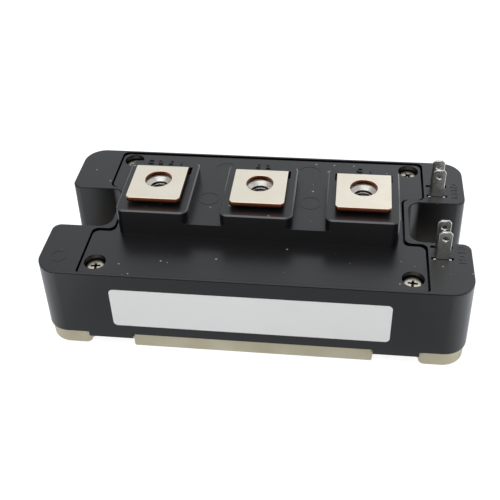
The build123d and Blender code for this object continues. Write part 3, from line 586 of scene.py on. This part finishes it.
# Painted highlight: the rounded rims of the bosses, high on the lid, take a lighter colour.
tree = moulded_black.node_tree
slope = parts_of(tree, "Normal")["Z"]
high = ramp(tree, parts_of(tree, "Object")["Z"], *RIM_FROM)
off_wall = ramp(tree, slope, *WALL_TO_ROUND)
off_flat = ramp(tree, slope, *ROUND_TO_FLAT, low=1.0, high=0.0)
rounded = worked(tree, "MULTIPLY", off_wall, off_flat)
mark_colour(moulded_black, worked(tree, "MULTIPLY", high, rounded), RIM_PAINTED_HIGHLIGHT)
bm = taken_from("lid")
for x, y, height, radius in LID_PIN_MARKS:
    pin_mark(bm, x, y, height, radius)
for letter, x in BOSS_MARKS:
    raised_mark(bm, letter, x, BOSS_MARK_Y, BOSS_TOP, BOSS_MARK_SIZE, BOSS_MARK_RAISE)
put_in_place(bm, "moulded_lid", moulded_black, "lid")

# LID SCREWS
# Four pan head screws of plated steel, headed and then punched with a cross recess. They
# hold the lid down and sit low in its counterbores. Head rings are (radius, height) from the
# flat down to the shank's tip, and places are (x, y, turn), in millimetres and degrees.
HEAD_TOP = 20.0 * MM
HEAD_FLAT_RADIUS = 1.6 * MM
HEAD_CELLS = 5
HEAD_RINGS = (
    (1.88, -0.03), (2.05, -0.12), (2.12, -0.3), (2.12, -1.1), (2.04, -1.2), (1.3, -1.2), (1.3, -10.2),
)
CROSS_HALF_LENGTH = 1.08 * MM
CROSS_HALF_WIDTH = 0.3 * MM
CROSS_DEPTH = 0.6 * MM
CROSS_TAPER = 0.72
RECESS_PAINTED_SHADE = (44, 34, 22)
RECESS_SHADE_DEPTHS = (0.14 * MM, 0.3 * MM)
SCREW_PLACES = ((-33.9, -19.5, 8), (33.9, -19.5, -6), (33.9, 19.5, 35), (-33.9, 19.5, 20))


def screw_head(bm, x, y, turn):
    """A grid whose middle cross is pushed down and whose border is made round."""
    lines = [-HEAD_FLAT_RADIUS, -CROSS_HALF_LENGTH, -CROSS_HALF_WIDTH]
    lines += [-place for place in reversed(lines)]
    made = bmesh.ops.create_grid(bm, x_segments=HEAD_CELLS, y_segments=HEAD_CELLS, size=1.0)["verts"]
    border = [v for v in made if v.is_boundary]
    for v in made:
        column, row = (round((c + 1) * HEAD_CELLS / 2) for c in v.co.xy)
        v.co = Vector((lines[column], lines[row], 0))
    for v in border:
        v.co = v.co.normalized() * HEAD_FLAT_RADIUS
    cross = []
    for f in once(f for v in made for f in v.link_faces):
        middle = f.calc_center_median()
        if min(abs(middle.x), abs(middle.y)) < CROSS_HALF_WIDTH / 2 and middle.length < CROSS_HALF_LENGTH:
            cross.append(f)
    floor_verts = of_kind(bmesh.types.BMVert, bmesh.ops.extrude_face_region(bm, geom=cross)["geom"])
    bmesh.ops.translate(bm, verts=floor_verts, vec=(0, 0, -CROSS_DEPTH))
    bmesh.ops.scale(bm, verts=floor_verts, vec=(CROSS_TAPER, CROSS_TAPER, 1))
    bmesh.ops.delete(bm, geom=cross, context="FACES")
    verts = made + floor_verts
    edge = once(e for v in border for e in v.link_edges if e.is_boundary)
    for radius, height in HEAD_RINGS:
        drawn = of_kind(bmesh.types.BMVert, bmesh.ops.extrude_edge_only(bm, edges=edge)["geom"])
        for v in drawn:
            v.co = Vector((v.co.x, v.co.y, 0)).normalized() * radius * MM + Vector((0, 0, height * MM))
        edge = once(e for v in drawn for e in v.link_edges if e.is_boundary)
        verts += drawn
    bmesh.ops.contextual_create(bm, geom=edge)
    place = Matrix.LocRotScale(Vector((x * MM, y * MM, HEAD_TOP)), Euler((0, 0, math.radians(turn))), None)
    bmesh.ops.transform(bm, verts=verts, matrix=place)


zinc = finish(
    "plated_screw", colour=(222, 214, 200), second=(200, 190, 172), metallic=1.0, gloss=(0.24, 0.36),
    grain=0.1, patch=1.2, relief=0.01, edge=(240, 235, 224),
)
# Painted shade: the cross recess and the head below its flat are darkened.
tree = zinc.node_tree
low = ramp(tree, parts_of(tree, "Object")["Z"], *(HEAD_TOP - depth for depth in RECESS_SHADE_DEPTHS))
mark_colour(zinc, low, RECESS_PAINTED_SHADE)
bm = bmesh.new()
for x, y, turn in SCREW_PLACES:
    screw_head(bm, x, y, turn)
bmesh.ops.recalc_face_normals(bm, faces=bm.faces[:])
put_in_place(bm, "cross_head_screws", zinc, "lid_screws")

# LABEL
# A blank film label, matt white and cut with small round corners. Its own adhesive holds it
# on the front wall.
film = finish(
    "label_film", colour=(251, 251, 249), second=(248, 248, 247), metallic=0.0, gloss=(0.45, 0.55),
    grain=0.2, patch=18.0, relief=0.006,
)
dress("front_label", film)

# FLOOR, LAMPS AND CAMERA
# A pale floor that keeps a soft shadow, one large soft lamp high in front, a weaker one
# overhead, and the camera in front, looking down. Shiny faces mirror a floor that is dim close
# in front of the module and bright past its ends, and a sky that is brightest to the right.
FLOOR_HALF = 3.0
COOL_WHITE = (0.93, 0.96, 1.0, 1.0)
PURE_WHITE = (1, 1, 1, 1)
SEEN_PAPER = (0.5, 0.5, 0.5, 1)
SEEN_PAPER_GLOW = 0.8
UNSEEN_PAPER = (0.75, 0.75, 0.75, 1)
FLOOR_IN_FRONT = (-0.04, 0.04, 0.62, 0.54)
FLOOR_PAST_ENDS = (0.042, 0.07)
FLOOR_BRIGHT = 1.45
FLOOR_BEHIND = (-0.08, 0.08, 0.8, 1.6)
FRONT_TO_REAR = (-0.03, 0.01)
LIGHT_SIDE = (0.3, 0.8, 0.52)
LIGHT_SPREAD = (0.2, 1.0)
DIM_SIDE = 0.1
BRIGHT_SIDE = 0.9
SKY_TO_RIGHT = (-0.02, 0.12, 1.0, 1.3)
SKY_TO_LEFT = (-0.18, -0.28, 1.0, 1.12)
LAMP_AIM = Vector((0, 0, 0.01))
CAMERA_AZIMUTH = math.radians(8.1516)
CAMERA_ELEVATION = math.radians(40.0883)
CAMERA_ROLL = math.radians(-2.2531)
CAMERA_DISTANCE = 197.759 * MM
CAMERA_TARGET = Vector((-2.813 * MM, 0.190 * MM, 10 * MM))
FOCAL_PIXELS = 829.11
FRAME_PIXELS = 500
SENSOR_WIDTH = 36
CLIP_START = 0.01


def seen_straight(tree):
    """One for what is seen straight or through a clear piece, and nought for the rest."""
    rays = wire(tree, "ShaderNodeLightPath")
    return worked(tree, "MAXIMUM", rays.outputs["Is Camera Ray"], rays.outputs["Is Transmission Ray"])


bm = bmesh.new()
bmesh.ops.create_grid(bm, x_segments=1, y_segments=1, size=FLOOR_HALF)
floor_mesh = bpy.data.meshes.new("pale_floor")
bm.to_mesh(floor_mesh)
bm.free()
floor = bpy.data.objects.new("pale_floor", floor_mesh)
bpy.context.scene.collection.objects.link(floor)
paper = bpy.data.materials.new("pale_paper")
paper.use_nodes = True
floor_mesh.materials.append(paper)
tree = paper.node_tree
tree.nodes.remove(tree.nodes["Principled BSDF"])
unseen = wire(tree, "ShaderNodeBsdfDiffuse", {"Color": UNSEEN_PAPER})
shaded = wire(tree, "ShaderNodeBsdfDiffuse", {"Color": SEEN_PAPER})
glow = wire(tree, "ShaderNodeEmission", {"Color": PURE_WHITE, "Strength": SEEN_PAPER_GLOW})
seen = wire(tree, "ShaderNodeAddShader", {0: shaded.outputs[0], 1: glow.outputs[0]})
ground = parts_of(tree, "Object")
close = ramp(tree, ground["X"], *FLOOR_IN_FRONT)
in_front = ramp(tree, worked(tree, "ABSOLUTE", ground["X"]), *FLOOR_PAST_ENDS, close, FLOOR_BRIGHT)
behind = ramp(tree, ground["X"], *FLOOR_BEHIND)
sheen = ramp(tree, ground["Y"], *FRONT_TO_REAR, in_front, behind)
mirrored = wire(tree, "ShaderNodeEmission", {"Color": COOL_WHITE, "Strength": sheen})
mixed = wire(tree, "ShaderNodeMixShader", {0: seen_straight(tree), 1: unseen.outputs[0], 2: seen.outputs[0]})
glossy = wire(tree, "ShaderNodeLightPath").outputs["Is Glossy Ray"]
mixed = wire(tree, "ShaderNodeMixShader", {0: glossy, 1: mixed.outputs[0], 2: mirrored.outputs[0]})
tree.links.new(mixed.outputs[0], tree.nodes["Material Output"].inputs["Surface"])

world = bpy.data.worlds.new("studio")
bpy.context.scene.world = world
world.use_nodes = True
tree = world.node_tree
way = wire(tree, "ShaderNodeTexCoord").outputs["Generated"]
to_light = wire(tree, "ShaderNodeVectorMath", {0: way, 1: LIGHT_SIDE}, operation="DOT_PRODUCT")
glow = ramp(
    tree, to_light.outputs["Value"], *LIGHT_SPREAD, DIM_SIDE, BRIGHT_SIDE, interpolation_type="SMOOTHSTEP"
)
sideways = wire(tree, "ShaderNodeSeparateXYZ", {0: way}).outputs["X"]
sides = worked(tree, "MAXIMUM", ramp(tree, sideways, *SKY_TO_RIGHT), ramp(tree, sideways, *SKY_TO_LEFT))
lit = worked(tree, "MULTIPLY", glow, sides)
straight = seen_straight(tree)
strength = wire(tree, "ShaderNodeMix", {0: straight, 2: lit, 3: 1.0}, data_type="FLOAT")
tint = blended(tree, straight, COOL_WHITE, PURE_WHITE)
tree.links.new(tint, tree.nodes["Background"].inputs["Color"])
tree.links.new(strength.outputs[0], tree.nodes["Background"].inputs["Strength"])


def soft_lamp(name, place, size, watts):
    """A square soft lamp aimed at the module."""
    light = bpy.data.lights.new(name, "AREA")
    light.shape = "SQUARE"
    light.size = size
    light.energy = watts
    lamp = bpy.data.objects.new(name, light)
    bpy.context.scene.collection.objects.link(lamp)
    lamp.location = place
    lamp.rotation_euler = (LAMP_AIM - Vector(place)).to_track_quat("-Z", "Y").to_euler()


soft_lamp("overhead_lamp", place=(-0.15, 0.05, 0.8), size=0.5, watts=0.7)
soft_lamp("front_lamp", place=(-0.15, -0.65, 0.72), size=1.1, watts=6.2)

back = Vector((
    math.sin(CAMERA_AZIMUTH) * math.cos(CAMERA_ELEVATION),
    -math.cos(CAMERA_AZIMUTH) * math.cos(CAMERA_ELEVATION),
    math.sin(CAMERA_ELEVATION),
))
right = (-back).cross(Vector((0, 0, 1))).normalized()
up = right.cross(-back)
across = math.cos(CAMERA_ROLL) * right + math.sin(CAMERA_ROLL) * up
upward = -math.sin(CAMERA_ROLL) * right + math.cos(CAMERA_ROLL) * up
camera = bpy.data.objects.new("camera", bpy.data.cameras.new("camera"))
bpy.context.scene.collection.objects.link(camera)
camera.data.sensor_width = SENSOR_WIDTH
camera.data.lens = FOCAL_PIXELS / FRAME_PIXELS * SENSOR_WIDTH
camera.data.clip_start = CLIP_START
camera.matrix_world = Matrix.LocRotScale(
    CAMERA_TARGET + CAMERA_DISTANCE * back, Matrix((across, upward, back)).transposed(), None
)
bpy.context.scene.camera = camera
bpy.context.scene.view_settings.view_transform = "Standard"
